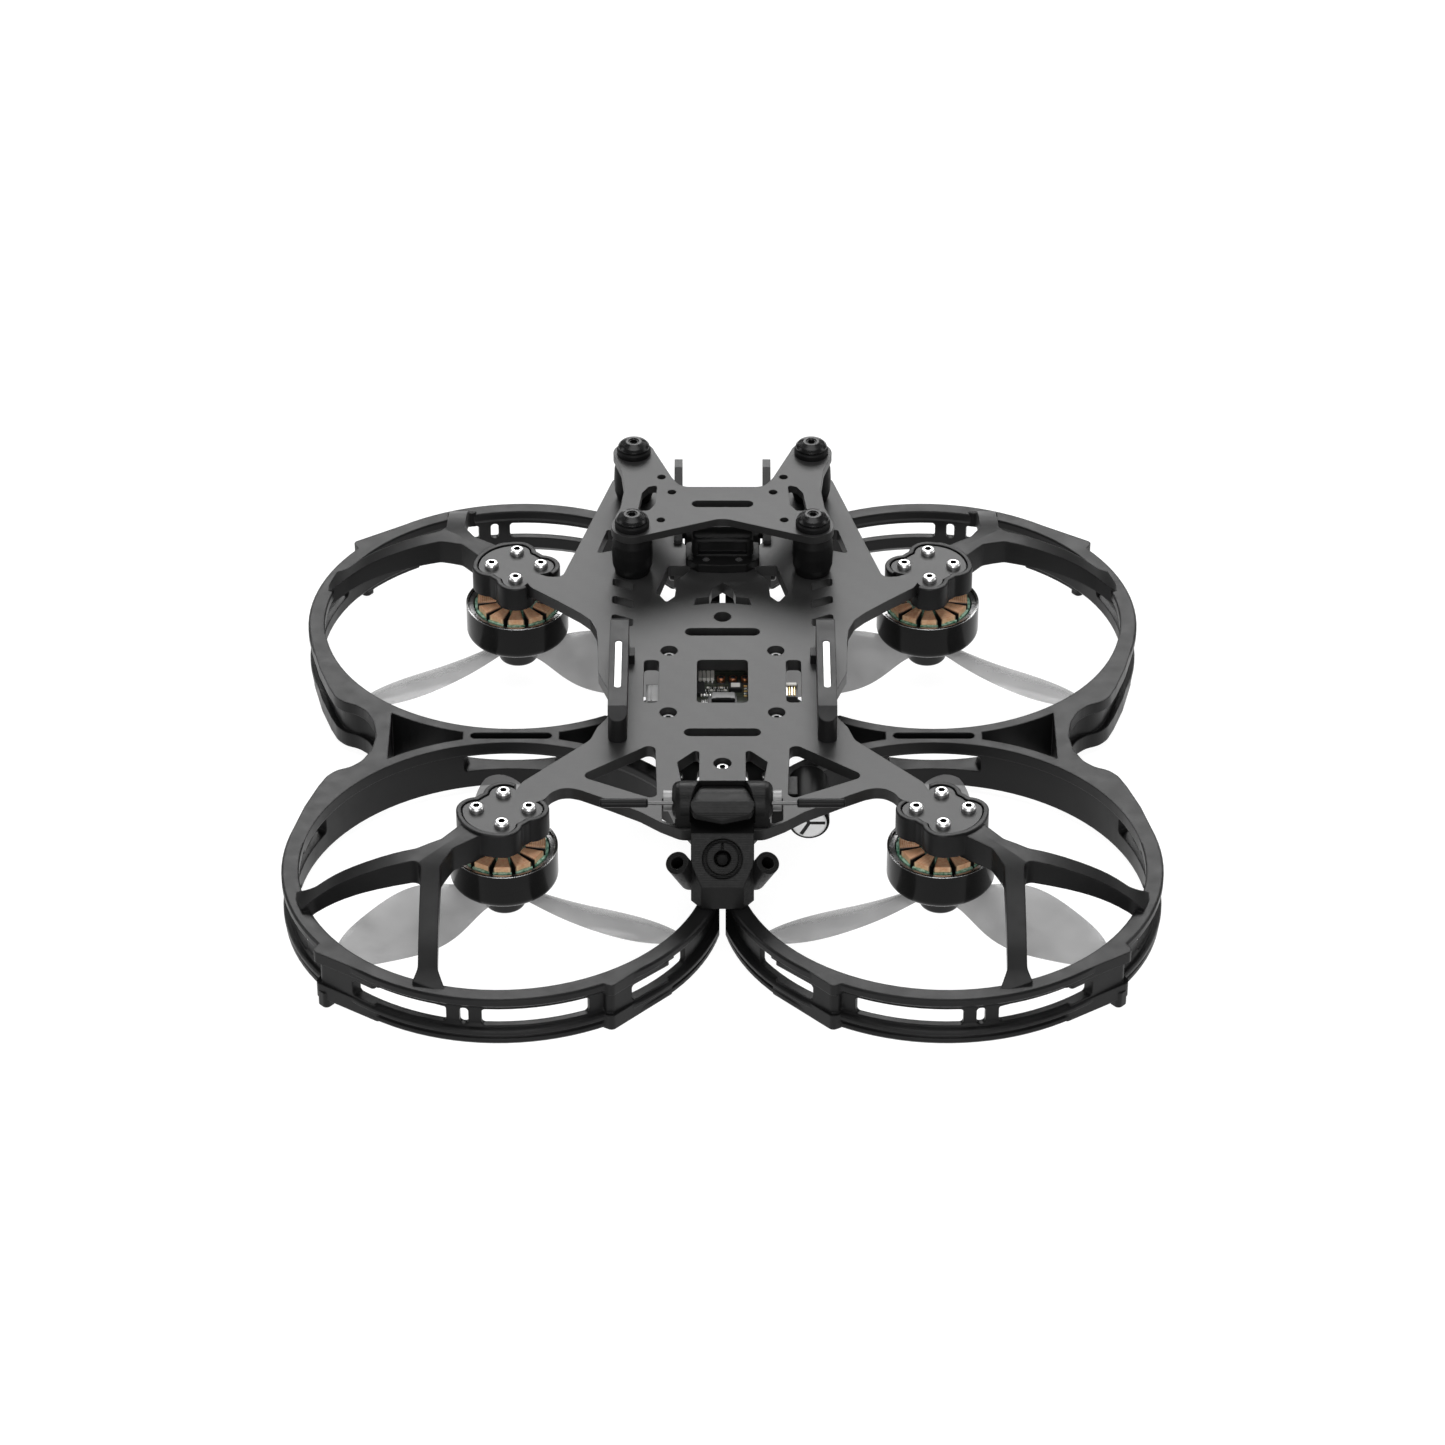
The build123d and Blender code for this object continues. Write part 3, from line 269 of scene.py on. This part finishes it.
def copper():
    """Wound enamelled wire: fine turns round each tooth, with painted shade in the valleys between the
    turns and painted shade, near black, in the gaps between one coil and the next.
    """
    n = Nodes("copper_wire")
    turns = n.math("PINGPONG", n.math("DIVIDE", n.off_axis(), 0.5 * MM), 0.5)
    # Painted shade: the colour darkens in the valleys between the turns, and also varies at random with the
    # noise.
    shade = n.math("ADD", turns, n.noise(0.7 * MM, 3.0))
    colour = n.mix(n.ramp(shade, 0, 1, 0.3, 1.0), (0.72, 0.26, 0.11, 1), (1.0, 0.66, 0.42, 1))
    # Painted shade: the gaps between the coils are painted near black, wider than the gaps in the geometry.
    between = n.ramp(n.round_axis(TEETH), 0, 1, 0.33, 0.40)
    colour = n.mix(between, colour, rgb(0.012))
    gloss = n.ramp(n.noise(1 * MM), 0.3, 0.44)
    n.set(Base_Color=colour, Metallic=0.35, Roughness=gloss, Normal=n.bump(turns, 0.10 * MM, 0.6))
    return n


def can():
    """A capacitor: a dark sleeve, and a vented end with a bare rim round a middle painted dark as shade,
    which shows in the gaps between the vent's leaves.
    """
    n = Nodes("capacitor_can")
    end_reach, groove_shade_reach, rim_depth = 4.05, 3.72, 0.25
    split = n.split()
    behind = n.math("LESS_THAN", split["Y"], (CAP_END + rim_depth) * MM)
    across = n.math("SUBTRACT", split["X"], CAP_X * MM)
    up = n.math("SUBTRACT", split["Z"], CAP_Z * MM)
    square = n.squares(across, up)
    bare = n.math("MULTIPLY", behind, n.math("LESS_THAN", square, (end_reach * MM) ** 2))
    sleeve = n.mix(n.noise(2 * MM), rgb(0.005), rgb(0.009))
    # Painted shade: the end under the vent's leaves is dark metal, so the gaps between the leaves read as
    # shaded grooves.
    middle = n.math("LESS_THAN", square, (groove_shade_reach * MM) ** 2)
    metal_tone = n.mix(n.noise(2 * MM, 2.0), rgb(0.80), rgb(0.90))
    metal_tone = n.mix(middle, metal_tone, rgb(0.05))
    n.set(Base_Color=n.mix(bare, sleeve, metal_tone), Metallic=bare, Specular_IOR_Level=0.05)
    n.set(Roughness=n.ramp(n.noise(1 * MM), 0.30, 0.42))
    n.set(Normal=n.bump(n.noise(0.3 * MM), 0.01 * MM, 0.4, n.soft_edges(0.15 * MM)))
    return n


def bell():
    """Gloss black anodising, with a bare turned ring on top."""
    n = moulded("bell_black", 0.003, 0.18, 0.3 * MM, 0.002 * MM, specular=0.14)
    bare = n.math("GREATER_THAN", n.split()["Z"], BELL_RIM_LOW * MM)
    turned = n.ramp(n.noise(0.4 * MM, 2.0), 0.30, 0.44)
    n.set(Base_Color=n.mix(bare, rgb(0.003), n.mix(turned, rgb(0.2), rgb(0.7))), Metallic=bare)
    return n


def enamel_green():
    """Mottled green enamel of the stators."""
    n = Nodes("stator_green")
    mottle = n.ramp(n.noise(0.9 * MM, 3.0), 0, 1, 0.35, 0.65)
    colour = n.mix(mottle, (0.03, 0.15, 0.085, 1), (0.33, 0.52, 0.42, 1))
    n.set(Base_Color=colour, Roughness=n.ramp(n.noise(0.8 * MM), 0.3, 0.5))
    n.set(Normal=n.bump(n.noise(0.25 * MM), 0.02 * MM, 0.6))
    return n


def lens():
    """Dark coated glass."""
    n = Nodes("lens_glass")
    colour = n.mix(n.noise(6 * MM), (0.01, 0.012, 0.02, 1), (0.02, 0.014, 0.035, 1))
    n.set(Base_Color=colour, Roughness=0.04, Coat_Weight=1.0, Specular_IOR_Level=0.8)
    return n


MATERIALS = {
    "carbon_plate": carbon(),
    "guard_plastic": moulded(
        "guard_plastic", 0.0065, 0.38, 0.22 * MM, 0.008 * MM, bevel=0.5 * MM, specular=0.17
    ),
    "rail_plastic": moulded(
        "rail_plastic", 0.009, 0.42, 0.20 * MM, 0.012 * MM, bevel=0.3 * MM, specular=0.19
    ),
    "diffuser": milky(),
    "steel_screw": metal("steel_screw", 0.74, 0.34, bevel=0.05 * MM, depth=0.0004 * MM),
    "anodised_standoff": metal("anodised_standoff", 0.05, 0.35),
    "circuit_board": board(),
    "board_parts": moulded(
        "board_parts", 0.016, 0.4, 0.2 * MM, 0.02 * MM, bevel=0.1 * MM, specular=0.4
    ),
    "vtx_case": metal("vtx_case", 0.2, 0.4),
    "soft_rubber": moulded("soft_rubber", 0.004, 0.5, 0.15 * MM, 0.02 * MM, specular=0.14),
    "damper_cap": moulded(
        "damper_cap", 0.006, 0.26, 0.2 * MM, 0.005 * MM, bevel=0.35 * MM, specular=0.22
    ),
    "black_screw": moulded(
        "black_screw", 0.005, 0.4, 0.2 * MM, 0.006 * MM, bevel=0.1 * MM, specular=0.16
    ),
    "capacitor_can": can(),
    "printed_tpu": printed("printed_tpu", 0.0045),
    "motor_aluminium": metal("motor_aluminium", 0.04, 0.35),
    "bell_black": bell(),
    "stator_green": enamel_green(),
    "copper_wire": copper(),
    "magnet": metal("magnet", 0.4, 0.3),
    "prop_smoke": smoke(),
    "camera_body": moulded("camera_body", 0.010, 0.4, 0.2 * MM, 0.02 * MM, specular=0.3),
    "lens_glass": lens(),
    "antenna_wire": metal("antenna_wire", 0.09, 0.38),
    "antenna_sleeve": moulded("antenna_sleeve", 0.004, 0.36, 0.4 * MM, 0.01 * MM, specular=0.12),
}
SLOT_OF = {row["node"]: row["material_slot"] for row in frame["record"]["subparts"]}
stack_steel = metal("stack_screw_steel", 0.90, 0.38, bevel=0.18 * MM, depth=0.0008 * MM)
stack_steel.set(Metallic=0.35)
FINISHES = {                          # nodes that don't wear the look of their slot
    "stack_screws": stack_steel,
    "frame_screws": blackened("frame_screw_steel"),
    "tail_nuts": metal("nut_steel", 0.20, 0.46),
    "tail_bolt": metal("bolt_steel", 0.20, 0.42),
    "camera_tilt_screws": MATERIALS["black_screw"],
}
for node_name, node in NODES.items():
    look = FINISHES.get(node_name, MATERIALS[SLOT_OF[node_name]])
    node.data.materials.clear()
    node.data.materials.append(look.material)


# ---------------------------------------------------------------- small pieces the CAD leaves plain
DRUM_SIDES = 28
WELL_SIDES = 6
FINE = 0.03                           # bevel of the smallest blocks


class Pile:
    """One mesh made of many small solids in millimetres, each with one of its looks, given by number."""

    def __init__(self, name, slot, *looks):
        self.name = name
        self.slot = slot
        self.looks = looks
        self.shape = bmesh.new()

    def keep(self, faces, look):
        for face in faces:
            face.material_index = look
            face.smooth = False

    def bevel(self, edges, width):
        bmesh.ops.bevel(
            self.shape, geom=list(edges), offset=width * MM, segments=2, affect="EDGES", material=-1
        )

    def box(self, foot, size, look=0, bevel=0.08):
        """A bevelled box on foot, the middle of its underside."""
        x, y, z = foot
        wide, deep, tall = size
        place = Matrix.Translation(Vector((x, y, z + tall / 2)) * MM)
        place = place @ Matrix.Diagonal((wide * MM, deep * MM, tall * MM, 1))
        made = bmesh.ops.create_cube(self.shape, size=1.0, matrix=place)["verts"]
        edges = {edge for vert in made for edge in vert.link_edges}
        faces = {face for vert in made for face in vert.link_faces}
        self.keep(faces, look)
        self.bevel(edges, bevel)

    def drum(self, foot, radius, tall, look=0, bevel=0.12):
        """A round, bevelled drum that stands on foot."""
        x, y, z = foot
        place = Matrix.Translation(Vector((x, y, z + tall / 2)) * MM)
        made = bmesh.ops.create_cone(
            self.shape, cap_ends=True, segments=DRUM_SIDES,
            radius1=radius * MM, radius2=radius * MM, depth=tall * MM, matrix=place,
        )["verts"]
        faces = {face for vert in made for face in vert.link_faces}
        self.keep(faces, look)
        rims = {edge for face in faces if len(face.verts) > 4 for edge in face.edges}
        self.bevel(rims, bevel)

    def well(self, middle, radius, depth, wall):
        """A small six-sided cup, open upwards, with the middle of its mouth at the given point."""
        place = Matrix.Translation(Vector(middle) * MM)
        inner = radius - wall
        rings = []
        for reach, level in ((radius, -depth), (radius, 0.0), (inner, 0.0), (inner, wall - depth)):
            ring = []
            for i in range(WELL_SIDES):
                turn = 2 * math.pi * i / WELL_SIDES
                point = Vector((reach * math.cos(turn), reach * math.sin(turn), level)) * MM
                ring.append(self.shape.verts.new(place @ point))
            rings.append(ring)
        faces = [self.shape.faces.new(list(reversed(rings[0]))), self.shape.faces.new(rings[3])]
        for a, b in zip(rings, rings[1:]):
            for i in range(WELL_SIDES):
                j = (i + 1) % WELL_SIDES
                faces.append(self.shape.faces.new((a[i], a[j], b[j], b[i])))
        self.keep(faces, 0)

    def prism(self, outline, near_y, far_y):
        """An outline of X and Z points, carried along Y from near_y to far_y."""
        near = [self.shape.verts.new(Vector((x, near_y, z)) * MM) for x, z in outline]
        far = [self.shape.verts.new(Vector((x, far_y, z)) * MM) for x, z in outline]
        self.shape.faces.new(near)
        self.shape.faces.new(list(reversed(far)))
        for j in range(len(outline)):
            k = (j + 1) % len(outline)
            self.shape.faces.new((near[k], near[j], far[j], far[k]))

    def finish(self, body):
        mesh = bpy.data.meshes.new(self.name)
        bmesh.ops.recalc_face_normals(self.shape, faces=self.shape.faces)
        self.shape.to_mesh(mesh)
        self.shape.free()
        for look in self.looks:
            mesh.materials.append(look.material)
        piece = bpy.data.objects.new(self.name, mesh)
        bpy.context.scene.collection.objects.link(piece)
        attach(piece, body)


# ---------------------------------------------------------------- components on the boards
ivory = moulded("ivory_plug", 0.62, 0.4, 0.2 * MM, 0.01 * MM, tint=(1, 0.98, 0.92), bevel=0.08 * MM)
chip = moulded("chip_resin", 0.012, 0.35, 0.1 * MM, 0.01 * MM, bevel=0.05 * MM)
tin = metal("tinned", 0.75, 0.28)
gold = metal("gilt", 0.7, 0.3, tint=(1, 0.72, 0.33))
ferrite = metal("choke_winding", 0.6, 0.35, tint=(1, 0.45, 0.25))
# Near-black look of the cups that stand in for the shade inside the screw sockets: painted shade.
socket_shade_look = moulded("socket_shade", 0.003, 0.6, 0.1 * MM, 0.004 * MM, specular=0.1)
CHIP, IVORY, TIN, FERRITE, GOLD = range(5)      # the looks of the pile below, in its order


def plugs(pile, count=4, left=-5.35, pitch=0.98):
    """A row of ivory plugs, each with a tinned pin behind it."""
    for i in range(count):
        x = left + pitch * i
        pile.box((x, 12.55, BOARD_TOP), (0.86, 3.4, 0.9), IVORY)
        pile.box((x, 10.5, BOARD_TOP), (0.34, 0.6, 0.3), TIN, FINE)


def chokes(pile, y=10.6, plate=0.3, coil=1.1):
    """Three coils, each on a plate and under a thin lid."""
    for x in (-0.35, 2.5, 5.35):
        pile.box((x, y, BOARD_TOP), (2.3, 2.2, plate), CHIP)
        pile.drum((x, y, BOARD_TOP + plate), 0.98, coil, FERRITE)
        pile.drum((x, y, BOARD_TOP + plate + coil), 0.6, 0.12, CHIP, bevel=0.04)


def resistors(pile, left=-3.7, pitch=1.08, stagger=0.22, last=1.2, end=0.33):
    """Rows of small blocks with a tinned cap at each end, as far as x = last."""
    for row, y in enumerate((4.75, 5.75, 6.85, 7.95)):
        for i in range(5):
            x = left + pitch * i + stagger * (row % 2)
            if x > last:
                continue
            pile.box((x, y, BOARD_TOP), (0.42, 0.5, 0.34), CHIP if (row + i) % 3 else IVORY, FINE)
            pile.box((x - end, y, BOARD_TOP), (0.22, 0.5, 0.36), TIN, FINE)
            pile.box((x + end, y, BOARD_TOP), (0.22, 0.5, 0.36), TIN, FINE)


def pads(pile):
    """Pads beside and behind the resistors."""
    for i in range(5):
        pile.box((5.5, 4.6 + 1.0 * i, BOARD_TOP), (0.8, 0.45, 0.34), TIN if i % 2 else GOLD, FINE)
    for i in range(7):
        pile.box((-4.9 + 0.45 * i, 2.2, BOARD_TOP), (0.24, 1.6, 0.2), TIN, 0.02)


def large_chip(pile, x=0.2, thick=1.0):
    """The chip on the middle block, with its legs, the bar on it and the parts beside it."""
    pile.box((x, 2.35, CHIP_TOP), (5.6, 2.9, thick), CHIP, 0.18)
    for i in range(6):
        pile.box((-2.05 + 0.9 * i, 4.1, CHIP_TOP), (0.4, 0.6, 0.3), TIN, FINE)
    pile.box((x, 1.3, CHIP_TOP + thick), (3.6, 0.4, 0.12), CHIP, FINE)
    for i in range(4):
        pile.box((-5.0 + 0.7 * i, 3.4, CHIP_TOP), (0.36, 0.7, 0.35), TIN if i % 2 else IVORY, FINE)


def other_blocks(pile, lid=0.5, pin=0.35):
    """What stands on the small block and on the two blocks at the sides of the board."""
    pile.box((3.1, 7.55, SMALL_BLOCK_TOP), (2.2, 1.7, 0.14), IVORY, FINE)
    pile.box((-16.2, 1.0, LEFT_BLOCK_TOP), (3.2, 7.0, lid), CHIP, 0.15)
    pile.box((-16.9, 1.0, LEFT_BLOCK_TOP + lid), (0.3, 6.0, 0.15), CHIP, FINE)
    for i in range(4):
        foot = (15.3 + 0.6 * i, 3.0, RIGHT_BLOCK_TOP)
        pile.box(foot, (0.34, 4.6, pin), GOLD if i % 2 else TIN, 0.05)
    pile.box((16.1, 4.9, RIGHT_BLOCK_TOP + pin), (3.0, 1.1, 0.4), IVORY, 0.1)


parts = Pile("board_components", "board_parts", chip, ivory, tin, ferrite, gold)
for add_to in (plugs, chokes, resistors, pads, large_chip, other_blocks):
    add_to(parts)
parts.finish("frame")

# ---------------------------------------------------------------- sockets of the screw heads, with dark cups painted in as the shade inside each socket
PROUD = 0.01                          # a socket's mouth stands this far above its head
shade_wells = Pile("socket_shade_wells", "black_screw", socket_shade_look)
for sx in (-1, 1):
    for sy in (-1, 1):
        for dx, dy in ((1, 0), (-1, 0), (0, 1), (0, -1)):
            x = sx * MOTOR_X + dx * MOTOR_SCREW_RING
            y = sy * MOTOR_Y + dy * MOTOR_SCREW_RING
            shade_wells.well((x, y, MOTOR_SCREW_TOP + PROUD), 0.90, 0.69, 0.20)
for sx in (-1, 1):
    for y in STACK_Y:
        shade_wells.well((sx * STACK_X, y, STACK_SCREW_TOP + PROUD), 0.86, 0.69, 0.18)
shade_wells.well((0, REAR_SCREW_Y, REAR_SCREW_TOP + PROUD), 0.86, 0.69, 0.18)
shade_wells.finish("frame")

# ---------------------------------------------------------------- vented end of the capacitor
SECTOR = 120                          # degrees from one leaf of the vent to the next
GAP = 7                               # degrees left free at each side of a leaf
LEAF_TIP, LEAF_REACH = 0.5, 3.75      # from the capacitor's axis
LEAF_STEPS = 14
LEAF_OUTER, LEAF_INNER = CAP_END - 0.12, CAP_END + 0.02
foil = metal("vent_foil", 0.95, 0.40)
foil.set(Metallic=0.4)
vent = Pile("capacitor_vent", "capacitor_can", foil)
for i in range(360 // SECTOR):
    middle = math.radians(SECTOR * i + SECTOR / 2)
    leaf = [(CAP_X + LEAF_TIP * math.cos(middle), CAP_Z + LEAF_TIP * math.sin(middle))]
    for step in range(LEAF_STEPS + 1):
        turn = math.radians(SECTOR * i + GAP + (SECTOR - 2 * GAP) * step / LEAF_STEPS)
        leaf.append((CAP_X + LEAF_REACH * math.cos(turn), CAP_Z + LEAF_REACH * math.sin(turn)))
    vent.prism(leaf, LEAF_OUTER, LEAF_INNER)
vent.finish("frame")

# ---------------------------------------------------------------- camera, in metres
PHOTO_TILT = 0.61875                  # the photograph looks down by 35.45 degrees
PHOTO_RANGE = 1.26284
TARGET = Vector((0.0, -0.01566, 0.030))
cam_data = bpy.data.cameras.new("photo_camera")
cam_data.lens = 134.2
cam_data.sensor_width = 36.0
cam_data.clip_start = 0.05
cam_data.clip_end = 50.0
cam = bpy.data.objects.new("photo_camera", cam_data)
cam.location = TARGET + PHOTO_RANGE * Vector((0, -math.cos(PHOTO_TILT), math.sin(PHOTO_TILT)))
cam.rotation_euler = (math.pi / 2 - PHOTO_TILT, 0, 0)
bpy.context.scene.collection.objects.link(cam)
bpy.context.scene.camera = cam

# ---------------------------------------------------------------- light and floor, in metres
LIGHT_AIM = (0, 0, 0.02)
WORLD_STRENGTH = 0.08
FLOOR_HALF = 6.0
FLOOR_BELOW = 0.0002                  # the floor lies this far under the feet
FLOOR_GLOW = 0.94


def area_light(name, place, size, power, height=None):
    """A rectangular light that looks at LIGHT_AIM, square if no height is given."""
    data = bpy.data.lights.new(name, "AREA")
    data.shape = "RECTANGLE"
    data.size = size
    data.size_y = height or size
    data.energy = power
    lamp = bpy.data.objects.new(name, data)
    lamp.location = place
    lamp.rotation_euler = (Vector(LIGHT_AIM) - Vector(place)).to_track_quat("-Z", "Y").to_euler()
    bpy.context.scene.collection.objects.link(lamp)


area_light("key_back", (0.0, 1.5, 1.15), 1.7, 31.0, 0.8)
area_light("fill_top", (0.0, -0.1, 1.8), 1.2, 19.0)
area_light("side_left", (-1.6, 0.3, 0.6), 0.5, 5.0, 0.9)
area_light("side_right", (1.6, 0.3, 0.6), 0.5, 5.0, 0.9)
area_light("front_low", (0.0, -1.65, 0.7), 1.1, 18.0)

world = bpy.data.worlds.new("studio")
world.use_nodes = True
world.node_tree.nodes["Background"].inputs["Color"].default_value = (1, 1, 1, 1)
world.node_tree.nodes["Background"].inputs["Strength"].default_value = WORLD_STRENGTH
bpy.context.scene.world = world

floor_mesh = bpy.data.meshes.new("floor")
corners = [(x * FLOOR_HALF, y * FLOOR_HALF, 0) for x, y in ((-1, -1), (1, -1), (1, 1), (-1, 1))]
floor_mesh.from_pydata(corners, [], [(0, 1, 2, 3)])
floor = bpy.data.objects.new("floor", floor_mesh)
floor.location.z = -FLOOR_BELOW
bpy.context.scene.collection.objects.link(floor)
paper = Nodes("floor_paper")
paper_tone = paper.mix(paper.noise(0.4, 3.0), rgb(0.18), rgb(0.22))
paper.set(Base_Color=paper_tone, Roughness=0.9, Specular_IOR_Level=0.0)
paper.set(Emission_Color=rgb(1.0), Emission_Strength=FLOOR_GLOW)
floor_mesh.materials.append(paper.material)
bpy.context.scene.view_settings.view_transform = "Standard"
